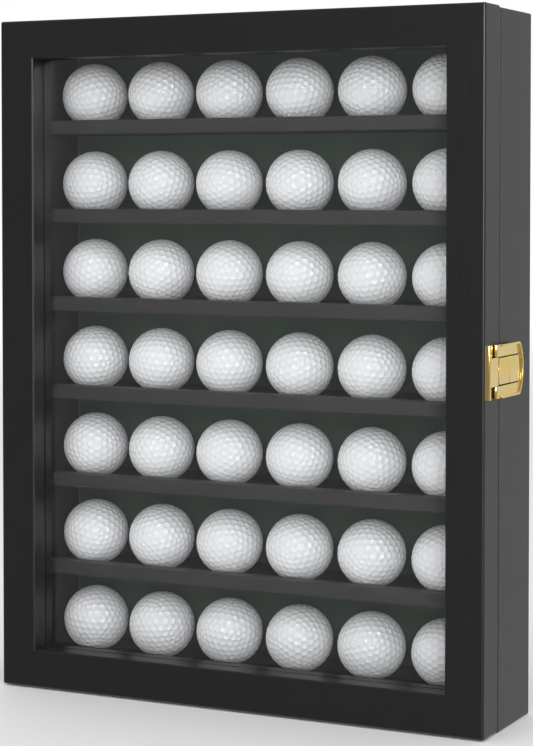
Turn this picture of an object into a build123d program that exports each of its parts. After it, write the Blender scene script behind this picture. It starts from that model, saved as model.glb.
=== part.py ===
from build123d import *
from math import cos, radians, sin
import os

# Wall display case for golf balls: a shallow mitred box with seven grooved boards, closed by a
# glazed, mitred door.  The door hangs on two brass butt hinges at its left edge and is held shut
# by a brass flap latch at its right edge.
# Millimetres.  X runs to the right, Y to the back and Z up.  The origin is under the middle of
# the case, on the surface it can stand on.

os.makedirs("parts", exist_ok=True)

# Case and door
case_width = 333.0
case_height = 430.0
wall = 14.0
body_depth = 54.6
door_depth = 24.0
door_gap = 0.4
door_lift = 1.0
corner_round = 1.2
outer_round = 1.5
back_round = 0.8

# Back of the case
back_panel_thickness = 2.5
back_panel_inset = 2.5
back_groove_depth = 2.0
felt_thickness = 0.8

# Grooved boards
row_count = 7
board_thickness = 9.0
ball_diameter = 42.67
cove_ease = 4.7
cove_depth = 5.0
board_round = 0.8
tongue_length = 3.0
tongue_thickness = 3.5
tongue_setback = 5.0

# Golf balls
balls_per_row = 6
ball_sides = 8

# Door frame, pane and the beads that hold it
frame_width = 24.4
sight_bevel = 0.8
face_lip_depth = 12.7
rabbet_width = 7.0
glass_thickness = 2.0
glass_clearance = 0.5
bead_setback = 0.8
bead_round = 1.5

# Butt hinges
hardware_reach = 4.8
hinge_height = 38.0
hinge_inset = 60.0
knuckle_radius = 2.1
knuckle_sides = 16
hinge_pin_radius = 1.0
pin_clearance = 0.05
knuckle_gap = 0.2
leaf_thickness = 1.2
leaf_width = 12.0
leaf_relief = 0.3

# Countersunk screw holes and pin holes, with few sides because they repeat
screw_radius = 1.0
hole_sides = 12
hinge_screw_spread = 13.0

# Flap latch
latch_height = 31.7
latch_tongue_height = 17.0
latch_axis_depth = 13.8
latch_axis_reach = 1.85
latch_knuckle_radius = 1.6
latch_pin_radius = 0.75
latch_sheet = 1.0
latch_gap = 0.3
cover_setback = 0.4
cover_wall = 1.8
cover_round = 1.4
cover_base_depth = 10.5
flap_corner_depth = 48.0
flap_end_depth = 54.0
flap_corner_round = 2.0
rim_width = 1.2
rim_start = 4.0
slit_width = 0.8
slit_end_margin = 5.5
tongue_gap = 1.0
tongue_step_depth = 34.0
tongue_step = 0.25
catch_thickness = 1.2
catch_length = 23.0
catch_height = 14.0
catch_round = 2.0
ridge_radius = 1.2
ridge_length = 11.0
catch_screw_spread = 7.0

# Keyhole hangers
hanger_height = 38.0
hanger_width = 12.0
hanger_thickness = 1.2
hanger_corner = 3.0
hanger_drop = 60.0
keyhole_radius = 4.4
keyhole_slot_radius = 2.1
keyhole_travel = 9.0
hanger_screw_spread = 15.0
hanger_pocket_depth = 5.0
hanger_pocket_width = 8.8

# Depths, counted from the front of the door to the back of the case
overall_depth = door_depth + door_gap + body_depth
door_front = -overall_depth / 2
door_back = door_front + door_depth
body_front = door_back + door_gap
body_back = body_front + body_depth
back_panel_rear = body_back - back_panel_inset
back_panel_front = back_panel_rear - back_panel_thickness
felt_front = back_panel_front - felt_thickness

# Inside of the case
inside_width = case_width - 2 * wall
inside_height = case_height - 2 * wall
case_middle = case_height / 2
board_depth = felt_front - body_front
board_middle = (felt_front + body_front) / 2
row_pitch = inside_height / row_count
cove_radius = ball_diameter / 2 + cove_ease
board_undersides = [wall + row * row_pitch for row in range(row_count)]
tongue_depth = board_depth - tongue_setback
tongue_middle = felt_front - tongue_depth / 2
back_panel_width = inside_width + 2 * back_groove_depth
back_panel_height = inside_height + 2 * back_groove_depth

# Golf balls: each has the height of a real one, and the gaps along a row are all alike
ball_radius = ball_diameter / 2
ball_gap = (inside_width - balls_per_row * ball_diameter) / (balls_per_row + 1)
ball_face = ball_diameter * sin(radians(180 / ball_sides))
ball_reach = ball_radius * cos(radians(180 / ball_sides))
ball_slope = ball_reach - ball_face / 2

# Inside of the door
door_middle = door_lift + case_height / 2
sight_width = case_width - 2 * frame_width
sight_height = case_height - 2 * frame_width
rabbet_across = sight_width + 2 * rabbet_width
rabbet_up = sight_height + 2 * rabbet_width
glass_front = door_front + face_lip_depth
glass_back = glass_front + glass_thickness
bead_back = door_back - bead_setback

# Hinges
side_face = case_width / 2
hinge_x = -side_face - (hardware_reach - knuckle_radius)
hinge_y = (door_back + body_front) / 2
hinge_heights = {
    "upper": door_middle + case_height / 2 - hinge_inset,
    "lower": door_middle - case_height / 2 + hinge_inset,
}
leaf_edge = -side_face + leaf_width
leaf_screw_x = -side_face + leaf_width / 2 + leaf_relief

# Latch
latch_x = side_face + latch_axis_reach
latch_y = door_front + latch_axis_depth
sheet_outside = latch_axis_reach + latch_knuckle_radius
sheet_inside = sheet_outside - latch_sheet
catch_middle = door_front + tongue_step_depth
outer_knuckle_height = (latch_height - latch_tongue_height) / 2 - latch_gap / 2
slit_end = door_front + flap_end_depth - slit_end_margin

# Hangers
hanger_x = side_face - wall / 2
hanger_z = case_height - hanger_drop


def upright(depth):
    """Sketch plane that faces the front, at a given depth."""
    return Plane.XZ.offset(-depth)


def screw_place(x, y, z, outward):
    """Plane in which a screw's head lies, with its normal out of the head."""
    return Plane(origin=(x, y, z), z_dir=outward)


# Every screw hole is given by the plane of the screw's head
front_way = (0, -1, 0)
back_way = (0, 1, 0)
right_way = (1, 0, 0)
case_hinge_screws = [
    screw_place(leaf_screw_x, body_front, height + shift, front_way)
    for height in hinge_heights.values()
    for shift in (-hinge_screw_spread, hinge_screw_spread)
]
door_hinge_screws = [
    screw_place(leaf_screw_x, door_back, height + shift, back_way)
    for height in hinge_heights.values()
    for shift in (-hinge_screw_spread, hinge_screw_spread)
]
hanger_screws = [
    screw_place(side * hanger_x, body_back, hanger_z + shift, back_way)
    for side in (-1, 1)
    for shift in (-hanger_screw_spread, hanger_screw_spread)
]
catch_screws = [
    screw_place(side_face + catch_thickness, catch_middle + shift, door_middle, right_way)
    for shift in (-catch_screw_spread, catch_screw_spread)
]


def write(piece, name):
    """Labels a finished piece and writes its file."""
    piece.part.label = name
    export_step(piece.part, f"parts/{name}.step")


def mitred_member(blank, side, middle):
    """One side of a rectangular frame, cut at 45 degrees at both of its corners."""
    across, up = {"left": (-1, 0), "right": (1, 0), "top": (0, 1), "bottom": (0, -1)}[side]
    with BuildPart() as member:
        add(blank.part)
        for way in (-1, 1):
            along_x, along_z = way * abs(up), way * abs(across)
            corner_x = (across + along_x) * case_width / 2
            corner_z = middle + (up + along_z) * case_height / 2
            mitre = Plane(origin=(corner_x, 0, corner_z), z_dir=(across - along_x, 0, up - along_z))
            split(bisect_by=mitre, keep=Keep.TOP)
    return member


def countersink(places, thickness):
    """Cuts screw holes that widen at 45 degrees through the whole plate."""
    for place in places:
        with BuildSketch(place) as hole:
            RegularPolygon(screw_radius + thickness, hole_sides, major_radius=False)
        extrude(hole.sketch, amount=-thickness, taper=45, mode=Mode.SUBTRACT)


# ---- Carcass: four mitred members, one blank ------------------------------------------------

with BuildPart() as carcass_blank:
    with BuildSketch(upright(body_back)):
        with Locations((0, case_middle)):
            RectangleRounded(case_width, case_height, corner_round)
            Rectangle(inside_width, inside_height, mode=Mode.SUBTRACT)
    extrude(amount=body_depth)
    front_edges = carcass_blank.faces().sort_by(Axis.Y)[0].outer_wire().edges()
    fillet(front_edges, back_round)
    rear_edges = carcass_blank.faces().sort_by(Axis.Y)[-1].outer_wire().edges()
    fillet(rear_edges, back_round)
    # Groove that holds the back panel
    with BuildSketch(upright(back_panel_rear)):
        with Locations((0, case_middle)):
            Rectangle(back_panel_width, back_panel_height)
    extrude(amount=back_panel_thickness, mode=Mode.SUBTRACT)
    # Stopped housings for the tongues of the shelves
    for underside in board_undersides[1:]:
        with BuildSketch(Plane.XY.offset(underside)):
            with Locations((0, tongue_middle)):
                Rectangle(inside_width + 2 * tongue_length, tongue_depth)
        extrude(amount=tongue_thickness, mode=Mode.SUBTRACT)
    # Mortises for the hinge leaves
    for height in hinge_heights.values():
        with BuildSketch(upright(body_front)):
            with Locations((-side_face, height)):
                Rectangle(2 * leaf_width, hinge_height)
        extrude(amount=-leaf_thickness, mode=Mode.SUBTRACT)
    # Seats and pockets for the keyhole hangers
    with BuildSketch(upright(body_back)) as seats:
        with Locations((-hanger_x, hanger_z), (hanger_x, hanger_z)):
            Rectangle(hanger_width, hanger_height)
        chamfer(seats.vertices(), hanger_corner)
    extrude(amount=hanger_thickness, mode=Mode.SUBTRACT)
    with BuildSketch(upright(body_back)):
        with Locations((-hanger_x, hanger_z), (hanger_x, hanger_z)):
            Rectangle(hanger_pocket_width, keyhole_travel + 2 * hanger_pocket_width)
    extrude(amount=hanger_pocket_depth, mode=Mode.SUBTRACT)

left_side = mitred_member(carcass_blank, "left", case_middle)
write(left_side, "left_side")
right_side = mitred_member(carcass_blank, "right", case_middle)
write(right_side, "right_side")
top_panel = mitred_member(carcass_blank, "top", case_middle)
write(top_panel, "top_panel")
bottom_panel = mitred_member(carcass_blank, "bottom", case_middle)
write(bottom_panel, "bottom_panel")

# ---- Back panel and its felt ----------------------------------------------------------------

with BuildPart() as back_panel:
    with BuildSketch(upright(back_panel_rear)):
        with Locations((0, case_middle)):
            Rectangle(back_panel_width, back_panel_height)
    extrude(amount=back_panel_thickness)
write(back_panel, "back_panel")

with BuildPart() as felt_lining:
    with BuildSketch(upright(back_panel_front)):
        with Locations((0, case_middle)):
            Rectangle(inside_width, inside_height)
    extrude(amount=felt_thickness)
write(felt_lining, "felt_lining")

# ---- Grooved boards: a rack on the bottom panel and six shelves above it --------------------


def grooved_board(underside):
    """Board with a long cove in its top, in which the balls lie, and eased front edges."""
    with BuildPart() as board:
        with BuildSketch(Plane.YZ.offset(-inside_width / 2)):
            with Locations((board_middle, underside + board_thickness / 2)):
                Rectangle(board_depth, board_thickness)
            with Locations((board_middle, underside + board_thickness - cove_depth + cove_radius)):
                Circle(cove_radius, mode=Mode.SUBTRACT)
        extrude(amount=inside_width)
        front_edges = board.edges().filter_by(Axis.X).group_by(Axis.Y)[0]
        fillet(front_edges, board_round)
    return board


bottom_rack = grooved_board(board_undersides[0])
write(bottom_rack, "bottom_rack")

for number, underside in enumerate(board_undersides[1:], start=1):
    plain_board = grooved_board(underside)
    with BuildPart() as shelf:
        add(plain_board.part)
        with BuildSketch(Plane.XY.offset(underside)):
            with Locations((0, tongue_middle)):
                Rectangle(inside_width + 2 * tongue_length, tongue_depth)
        extrude(amount=tongue_thickness)
    write(shelf, f"shelf_{number}")

# ---- Golf balls: plain stand-ins with few faces, lying loose in the coves --------------------

with BuildPart() as ball:
    with BuildSketch(Plane.YZ):
        with Locations((board_middle, ball_radius)):
            RegularPolygon(ball_radius, ball_sides)
    extrude(amount=ball_reach, both=True)
    chamfer(ball.faces().filter_by(Axis.X).edges(), ball_slope)

for number, underside in enumerate(board_undersides, start=1):
    with BuildPart() as ball_row:
        bed = underside + board_thickness - cove_depth
        with Locations((0, 0, bed)):
            with GridLocations(ball_diameter + ball_gap, 0, balls_per_row, 1):
                add(ball.part)
    write(ball_row, f"ball_row_{number}")

# ---- Door frame: four mitred members, one blank ---------------------------------------------

with BuildPart() as door_blank:
    with BuildSketch(upright(door_back)):
        with Locations((0, door_middle)):
            RectangleRounded(case_width, case_height, corner_round)
            Rectangle(sight_width, sight_height, mode=Mode.SUBTRACT)
    extrude(amount=door_depth)
    front_face = door_blank.faces().sort_by(Axis.Y)[0]
    fillet(front_face.outer_wire().edges(), outer_round)
    front_face = door_blank.faces().sort_by(Axis.Y)[0]
    chamfer(front_face.inner_wires().edges(), sight_bevel)
    rear_face = door_blank.faces().sort_by(Axis.Y)[-1]
    fillet(rear_face.outer_wire().edges(), back_round)
    # Rabbet for the pane and its beads
    with BuildSketch(upright(door_back)):
        with Locations((0, door_middle)):
            Rectangle(rabbet_across, rabbet_up)
    extrude(amount=door_depth - face_lip_depth, mode=Mode.SUBTRACT)
    # Mortises for the hinge leaves
    for height in hinge_heights.values():
        with BuildSketch(upright(door_back)):
            with Locations((-side_face, height)):
                Rectangle(2 * leaf_width, hinge_height)
        extrude(amount=leaf_thickness, mode=Mode.SUBTRACT)

door_left_stile = mitred_member(door_blank, "left", door_middle)
write(door_left_stile, "door_left_stile")
door_right_stile = mitred_member(door_blank, "right", door_middle)
write(door_right_stile, "door_right_stile")
door_top_rail = mitred_member(door_blank, "top", door_middle)
write(door_top_rail, "door_top_rail")
door_bottom_rail = mitred_member(door_blank, "bottom", door_middle)
write(door_bottom_rail, "door_bottom_rail")

# ---- Pane and beads -------------------------------------------------------------------------

with BuildPart() as door_glass:
    with BuildSketch(upright(glass_back)):
        with Locations((0, door_middle)):
            Rectangle(rabbet_across - 2 * glass_clearance, rabbet_up - 2 * glass_clearance)
    extrude(amount=glass_thickness)
write(door_glass, "door_glass")

with BuildPart() as bead_blank:
    with BuildSketch(upright(bead_back)):
        with Locations((0, door_middle)):
            Rectangle(rabbet_across, rabbet_up)
            Rectangle(sight_width, sight_height, mode=Mode.SUBTRACT)
    extrude(amount=bead_back - glass_back)
    rear_face = bead_blank.faces().sort_by(Axis.Y)[-1]
    fillet(rear_face.inner_wires().edges(), bead_round)

for side in ("left", "right", "top", "bottom"):
    glass_bead = mitred_member(bead_blank, side, door_middle)
    write(glass_bead, f"glass_bead_{side}")

# ---- Butt hinges ----------------------------------------------------------------------------


def hinge_leaf(height, leaf_front, screws, own_thirds):
    """One leaf of a butt hinge; own_thirds says which thirds of the height carry its knuckles."""
    third = hinge_height / 3
    with BuildPart() as leaf:
        with BuildSketch(Plane.XY.offset(height - hinge_height / 2)):
            with Locations((hinge_x, leaf_front)):
                Rectangle(leaf_edge - hinge_x, leaf_thickness, align=(Align.MIN, Align.MIN))
            with Locations((hinge_x, hinge_y)):
                RegularPolygon(knuckle_radius, knuckle_sides)
        extrude(amount=hinge_height)
        # The other leaf's knuckles turn in these notches
        for third_number in {-1, 0, 1} - set(own_thirds):
            with BuildSketch(Plane.XY.offset(height + third_number * third)):
                with Locations((hinge_x - knuckle_radius, hinge_y)):
                    Rectangle(
                        knuckle_radius - side_face - hinge_x + leaf_relief,
                        3 * knuckle_radius,
                        align=(Align.MIN, Align.CENTER),
                    )
            extrude(amount=third / 2 + knuckle_gap / 2, both=True, mode=Mode.SUBTRACT)
        pin_hole = hinge_pin_radius + (pin_clearance if own_thirds == [0] else 0)
        with BuildSketch(Plane.XY.offset(height - hinge_height / 2)):
            with Locations((hinge_x, hinge_y)):
                RegularPolygon(pin_hole, hole_sides, major_radius=False)
        extrude(amount=hinge_height, mode=Mode.SUBTRACT)
        countersink(screws, leaf_thickness)
    return leaf


for number, (place, height) in enumerate(hinge_heights.items()):
    own_screws = slice(2 * number, 2 * number + 2)
    case_leaf = hinge_leaf(height, body_front, case_hinge_screws[own_screws], [-1, 1])
    write(case_leaf, f"{place}_hinge_case_leaf")
    door_leaf_front = door_back - leaf_thickness
    door_leaf = hinge_leaf(height, door_leaf_front, door_hinge_screws[own_screws], [0])
    write(door_leaf, f"{place}_hinge_door_leaf")
    with BuildPart() as hinge_pin:
        with BuildSketch(Plane.XY.offset(height - hinge_height / 2)):
            with Locations((hinge_x, hinge_y)):
                Circle(hinge_pin_radius)
        extrude(amount=hinge_height)
    write(hinge_pin, f"{place}_hinge_pin")

# ---- Latch: cover with the middle knuckle, on the door --------------------------------------

latch_bottom = door_middle - latch_height / 2
tongue_bottom = door_middle - latch_tongue_height / 2

with BuildPart() as latch_cover:
    # Base on the door's edge and the turned-up front wall, over the full height
    with BuildSketch(Plane.XY.offset(latch_bottom)):
        with Locations((side_face, door_front + cover_setback)):
            Rectangle(latch_sheet, cover_base_depth, align=(Align.MIN, Align.MIN))
            Rectangle(sheet_outside, cover_wall, align=(Align.MIN, Align.MIN))
    extrude(amount=latch_height)
    front_corner = latch_cover.edges().filter_by(Axis.Z).group_by(Axis.Y)[0].sort_by(Axis.X)[-1]
    fillet(front_corner, cover_round)
    # Bridge to the middle knuckle
    with BuildSketch(Plane.XY.offset(tongue_bottom)):
        with Locations((side_face + sheet_inside, door_front + cover_wall)):
            Rectangle(latch_sheet, latch_axis_depth - cover_wall, align=(Align.MIN, Align.MIN))
        with Locations((latch_x, latch_y)):
            Circle(latch_knuckle_radius)
    extrude(amount=latch_tongue_height)
    with BuildSketch(Plane.XY.offset(tongue_bottom)):
        with Locations((latch_x, latch_y)):
            RegularPolygon(latch_pin_radius, hole_sides, major_radius=False)
    extrude(amount=latch_tongue_height, mode=Mode.SUBTRACT)
write(latch_cover, "latch_cover")

with BuildPart() as latch_pin:
    with BuildSketch(Plane.XY.offset(latch_bottom)):
        with Locations((latch_x, latch_y)):
            Circle(latch_pin_radius)
    extrude(amount=latch_height)
write(latch_pin, "latch_pin")

# ---- Latch: the flap ------------------------------------------------------------------------


def flap_outline():
    """Straight top and bottom, and a far edge that bows out, with rounded corners."""
    corner_y = door_front + flap_corner_depth
    end_y = door_front + flap_end_depth
    top = door_middle + latch_height / 2
    bottom = door_middle - latch_height / 2
    with BuildSketch() as outline:
        with BuildLine():
            Line((latch_y, top), (latch_y, bottom))
            Line((latch_y, bottom), (corner_y, bottom))
            ThreePointArc((corner_y, bottom), (end_y, door_middle), (corner_y, top))
            Line((corner_y, top), (latch_y, top))
        make_face()
        far_corners = outline.vertices().group_by(Axis.X)[-1]
        fillet(far_corners, flap_corner_round)
    return outline.sketch


with BuildPart() as latch_flap:
    with BuildSketch(Plane.YZ.offset(side_face + sheet_inside)):
        add(flap_outline())
    extrude(amount=latch_sheet)
    # Two outer knuckles
    for way in (-1, 1):
        knuckle_middle = door_middle + way * (latch_height - outer_knuckle_height) / 2
        with BuildSketch(Plane.XY.offset(knuckle_middle - outer_knuckle_height / 2)):
            with Locations((latch_x, latch_y)):
                Circle(latch_knuckle_radius)
        extrude(amount=outer_knuckle_height)
    # Window round the middle knuckle, and the slits that free the sprung tongue
    with BuildSketch(Plane.YZ.offset(side_face + sheet_inside)):
        with Locations((latch_y - latch_knuckle_radius, door_middle)):
            Rectangle(
                2 * latch_knuckle_radius + tongue_gap,
                latch_tongue_height + latch_gap,
                align=(Align.MIN, Align.CENTER),
            )
        with Locations((latch_y, door_middle)):
            with GridLocations(0, latch_tongue_height - slit_width + latch_gap, 1, 2):
                Rectangle(slit_end - latch_y, slit_width, align=(Align.MIN, Align.CENTER))
    extrude(amount=latch_sheet, mode=Mode.SUBTRACT)
    # The near half of the tongue is pressed a little lower
    with BuildSketch(Plane.YZ.offset(side_face + sheet_outside)):
        with Locations((latch_y, door_middle)):
            Rectangle(
                catch_middle - latch_y,
                latch_tongue_height - slit_width,
                align=(Align.MIN, Align.CENTER),
            )
    extrude(amount=-tongue_step, mode=Mode.SUBTRACT)
    # Raised rim, for a fingertip
    with BuildSketch(Plane.YZ.offset(side_face + sheet_outside)):
        add(flap_outline())
        offset(amount=-rim_width, kind=Kind.INTERSECTION, mode=Mode.SUBTRACT)
        with Locations((latch_y, door_middle)):
            Rectangle(
                rim_start,
                latch_height,
                align=(Align.MIN, Align.CENTER),
                mode=Mode.SUBTRACT,
            )
    extrude(amount=hardware_reach - sheet_outside)
    with BuildSketch(Plane.XY.offset(latch_bottom)):
        with Locations((latch_x, latch_y)):
            RegularPolygon(latch_pin_radius + pin_clearance, hole_sides, major_radius=False)
    extrude(amount=latch_height, mode=Mode.SUBTRACT)
write(latch_flap, "latch_flap")

# ---- Latch: the catch on the case -----------------------------------------------------------

with BuildPart() as latch_catch:
    with BuildSketch(Plane.YZ.offset(side_face)):
        with Locations((catch_middle, door_middle)):
            RectangleRounded(catch_length, catch_height, catch_round)
    extrude(amount=catch_thickness)
    # Half-round ridge under the tongue
    with BuildSketch(Plane.XY.offset(door_middle - ridge_length / 2)):
        with Locations((side_face + sheet_inside - latch_gap - ridge_radius, catch_middle)):
            Circle(ridge_radius)
            Rectangle(
                2 * ridge_radius,
                2 * ridge_radius,
                align=(Align.MAX, Align.CENTER),
            )
    extrude(amount=ridge_length)
    split(bisect_by=Plane.YZ.offset(side_face), keep=Keep.TOP)
    countersink(catch_screws, catch_thickness)
write(latch_catch, "latch_catch")

# ---- Keyhole hangers ------------------------------------------------------------------------

for side, name in ((-1, "left_hanger"), (1, "right_hanger")):
    with BuildPart() as hanger:
        with BuildSketch(upright(body_back)) as plate:
            with Locations((side * hanger_x, hanger_z)):
                Rectangle(hanger_width, hanger_height)
            chamfer(plate.vertices(), hanger_corner)
            with Locations((side * hanger_x, hanger_z - keyhole_travel / 2)):
                Circle(keyhole_radius, mode=Mode.SUBTRACT)
            with Locations((side * hanger_x, hanger_z)):
                SlotCenterToCenter(
                    keyhole_travel,
                    2 * keyhole_slot_radius,
                    rotation=90,
                    mode=Mode.SUBTRACT,
                )
        extrude(amount=hanger_thickness)
        own_screws = [place for place in hanger_screws if place.origin.X * side > 0]
        countersink(own_screws, hanger_thickness)
    write(hanger, name)
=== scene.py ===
import itertools
import math

import bmesh
import bpy
import numpy as np
from bpy.props import FloatProperty, FloatVectorProperty, IntProperty, PointerProperty
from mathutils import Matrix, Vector


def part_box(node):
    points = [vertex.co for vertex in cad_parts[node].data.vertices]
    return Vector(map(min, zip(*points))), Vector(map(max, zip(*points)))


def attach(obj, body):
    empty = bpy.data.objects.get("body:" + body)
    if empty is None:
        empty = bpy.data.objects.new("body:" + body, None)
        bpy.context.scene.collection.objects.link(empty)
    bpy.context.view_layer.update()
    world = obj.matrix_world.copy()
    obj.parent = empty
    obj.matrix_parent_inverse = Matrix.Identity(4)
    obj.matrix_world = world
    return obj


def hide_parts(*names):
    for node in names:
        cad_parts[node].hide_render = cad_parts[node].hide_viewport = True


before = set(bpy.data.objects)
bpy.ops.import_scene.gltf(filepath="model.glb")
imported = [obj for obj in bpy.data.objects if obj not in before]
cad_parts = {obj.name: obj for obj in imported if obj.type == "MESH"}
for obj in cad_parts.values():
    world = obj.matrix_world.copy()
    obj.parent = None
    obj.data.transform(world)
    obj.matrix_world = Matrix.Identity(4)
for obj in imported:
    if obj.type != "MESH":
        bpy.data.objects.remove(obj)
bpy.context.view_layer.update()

bl_info = {
    "name": "Golf ball display case",
    "version": (1, 0, 0),
    "blender": (4, 5, 0),
    "location": "3D View > Sidebar > Display Case",
    "description": "Finishes a glazed wall case for golf balls, its brass and the balls in it",
    "category": "Object",
}

MM = 0.001
SHELVES = [f"shelf_{number}" for number in range(1, 7)]
BOARDS = ["bottom_rack"] + SHELVES
UPRIGHT_WOOD = ["left_side", "right_side", "door_left_stile", "door_right_stile"]
LEVEL_WOOD = ["top_panel", "bottom_panel", "door_top_rail", "door_bottom_rail"]
CARCASS = ["left_side", "right_side", "top_panel", "bottom_panel"]
UPRIGHT_BEADS = ["glass_bead_left", "glass_bead_right"]
LEVEL_BEADS = ["glass_bead_top", "glass_bead_bottom"]
HINGE_PLACES = ["upper", "lower"]
HANGERS = ["left_hanger", "right_hanger"]
# Dimples: lattice steps between two centres, and the radius of each ring of points around one
DIMPLE_STEPS = 6
RING_RADII = np.array([0, 1.2, 2.2, 3.0])
# Felt: points across and up, and how much of its thickness the matted surface sinks
FELT_POINTS = (160, 210)
FELT_SINK = 0.1
# Cross in a screw's head: half its width, its reach from the middle, and how far each slopes
SLOT_WIDTH, SLOT_SIDE = 0.42 * MM, 0.16 * MM
SLOT_REACH, SLOT_END = 1.45 * MM, 0.7 * MM
CIRCLE_POINTS = 96


# ---- Meshes ---------------------------------------------------------------------------------


def mesh_object(name, points, faces, crease=0):
    """Makes an object at the origin from an array of points and an array of faces.  Edges that
    turn by more than crease degrees, if it is given, stay sharp."""
    mesh = bpy.data.meshes.new(name)
    points = np.ascontiguousarray(points, dtype=np.float32)
    faces = np.ascontiguousarray(faces, dtype=np.int32)
    mesh.vertices.add(len(points))
    mesh.vertices.foreach_set("co", points.ravel())
    mesh.loops.add(faces.size)
    mesh.loops.foreach_set("vertex_index", faces.ravel())
    mesh.polygons.add(len(faces))
    mesh.polygons.foreach_set("loop_start", np.arange(len(faces)) * faces.shape[1])
    mesh.polygons.foreach_set("use_smooth", np.ones(len(faces), dtype=bool))
    mesh.update()
    mesh.validate()
    if crease:
        mesh.set_sharp_from_angle(angle=math.radians(crease))
    piece = bpy.data.objects.new(name, mesh)
    bpy.context.scene.collection.objects.link(piece)
    return piece


def grid_faces(rows, columns, wrap=False):
    """Quads of a grid of points counted row by row; wrap joins the last column to the first."""
    steps = columns if wrap else columns - 1
    row, column = np.meshgrid(np.arange(rows - 1), np.arange(steps), indexing="ij")
    after = (column + 1) % columns
    quads = [row * columns + column, row * columns + after,
             (row + 1) * columns + after, (row + 1) * columns + column]
    return np.stack(quads, axis=-1).reshape(-1, 4)


def slab(front, back):
    """Closed shell between two grids of the same shape: both grids and the four strips between
    their borders.  The front grid's quads run so that their normals point away from the back."""
    rows, columns = front.shape[:2]
    count = rows * columns
    points = np.concatenate([front.reshape(-1, 3), back.reshape(-1, 3)])
    faces = grid_faces(rows, columns)
    index = np.arange(count).reshape(rows, columns)
    border = np.concatenate(
        [index[0, :], index[1:, -1], index[-1, -2::-1], index[-2:0:-1, 0]]
    )
    after = np.roll(border, -1)
    strip = np.stack([after, border, border + count, after + count], axis=-1)
    return points, np.concatenate([faces, faces[:, ::-1] + count, strip])


def turned(radii, heights, spokes):
    """Surface of revolution about Z.  The first and last radius are zero, and each is one point;
    every ring between them is a circle of its radius at its height."""
    angle = np.linspace(0, 2 * np.pi, spokes, endpoint=False)
    rings = np.stack(
        [
            radii[1:-1, None] * np.cos(angle),
            radii[1:-1, None] * np.sin(angle),
            np.broadcast_to(heights[1:-1, None], (len(radii) - 2, spokes)),
        ],
        axis=-1,
    )
    points = np.concatenate(
        [[[0, 0, heights[0]]], rings.reshape(-1, 3), [[0, 0, heights[-1]]]]
    )
    quads = grid_faces(len(radii) - 2, spokes, wrap=True) + 1
    triangles = np.concatenate([quads[:, [0, 1, 2]], quads[:, [0, 2, 3]]])
    first = np.arange(spokes) + 1
    last = first + (len(radii) - 3) * spokes
    end = np.full(spokes, len(points) - 1)
    top = np.stack([np.zeros(spokes, dtype=int), np.roll(first, -1), first], axis=-1)
    bottom = np.stack([end, last, np.roll(last, -1)], axis=-1)
    return points, np.concatenate([top, triangles[:, ::-1], bottom])


def several(points, faces, places):
    """Copies one shape to many places.  Each place is a 4 x 4 matrix, and a copy's points are
    the shape's points turned and moved by it."""
    places = np.asarray(places, dtype=float)
    moved = np.einsum("kij,nj->kni", places[:, :3, :3], points) + places[:, None, :3, 3]
    shift = (np.arange(len(places)) * len(points))[:, None, None]
    return moved.reshape(-1, 3), (faces[None] + shift).reshape(-1, faces.shape[1])


def softened(node, name, width):
    """Copy of a CAD piece whose corners are merged and whose edges are rounded by a bevel."""
    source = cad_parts[node]
    mesh = source.data.copy()
    mesh.name = name
    shape = bmesh.new()
    shape.from_mesh(mesh)
    bmesh.ops.remove_doubles(shape, verts=shape.verts, dist=1e-6)
    bmesh.ops.dissolve_limit(
        shape, angle_limit=math.radians(1), verts=shape.verts, edges=shape.edges
    )
    shape.to_mesh(mesh)
    shape.free()
    mesh.materials.clear()
    piece = bpy.data.objects.new(name, mesh)
    bpy.context.scene.collection.objects.link(piece)
    mesh.shade_smooth()
    bevel = piece.modifiers.new("soft_edges", "BEVEL")
    bevel.width = width
    bevel.segments = 2
    bevel.limit_method = "ANGLE"
    bevel.angle_limit = math.radians(30)
    bevel.harden_normals = True
    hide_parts(node)
    return piece


def give(piece, material, body):
    """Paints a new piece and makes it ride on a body."""
    piece.data.materials.clear()
    piece.data.materials.append(material)
    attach(piece, body)


def paint(node, material):
    """Gives a CAD piece that stays a better material."""
    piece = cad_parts[node]
    if not piece.material_slots:
        piece.data.materials.append(material)
    for material_slot in piece.material_slots:
        material_slot.material = material


# ---- Shader groups --------------------------------------------------------------------------


def shader_group(name, inputs, outputs):
    """Empty shader group; inputs and outputs are name, socket type and default."""
    group = bpy.data.node_groups.new(name, "ShaderNodeTree")
    for label, kind, default in inputs:
        socket = group.interface.new_socket(label, in_out="INPUT", socket_type=kind)
        if default is not None:
            socket.default_value = default
    for label, kind in outputs:
        group.interface.new_socket(label, in_out="OUTPUT", socket_type=kind)
    return group, group.nodes.new("NodeGroupInput"), group.nodes.new("NodeGroupOutput")


def streak_group():
    """Fine lines: noise squeezed across the lines and stretched along them, in two sizes."""
    group, given, result = shader_group(
        "fine_lines",
        [
            ("Vector", "NodeSocketVector", None),
            ("Line Density", "NodeSocketFloat", 900.0),
            ("Stretch", "NodeSocketVector", (1.0, 1.0, 0.02)),
        ],
        [("Lines", "NodeSocketFloat"), ("Clouds", "NodeSocketFloat")],
    )
    nodes, links = group.nodes, group.links
    squeeze = nodes.new("ShaderNodeVectorMath")
    squeeze.operation = "MULTIPLY"
    links.new(given.outputs["Vector"], squeeze.inputs[0])
    links.new(given.outputs["Stretch"], squeeze.inputs[1])
    fine = noise(group, squeeze.outputs[0], scale=1.0, detail=3.0, roughness=0.6)
    links.new(given.outputs["Line Density"], fine.inputs["Scale"])
    clouds = noise(group, given.outputs["Vector"], scale=28.0, detail=2.0)
    links.new(fine.outputs["Fac"], result.inputs["Lines"])
    links.new(clouds.outputs["Fac"], result.inputs["Clouds"])
    return group


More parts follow.
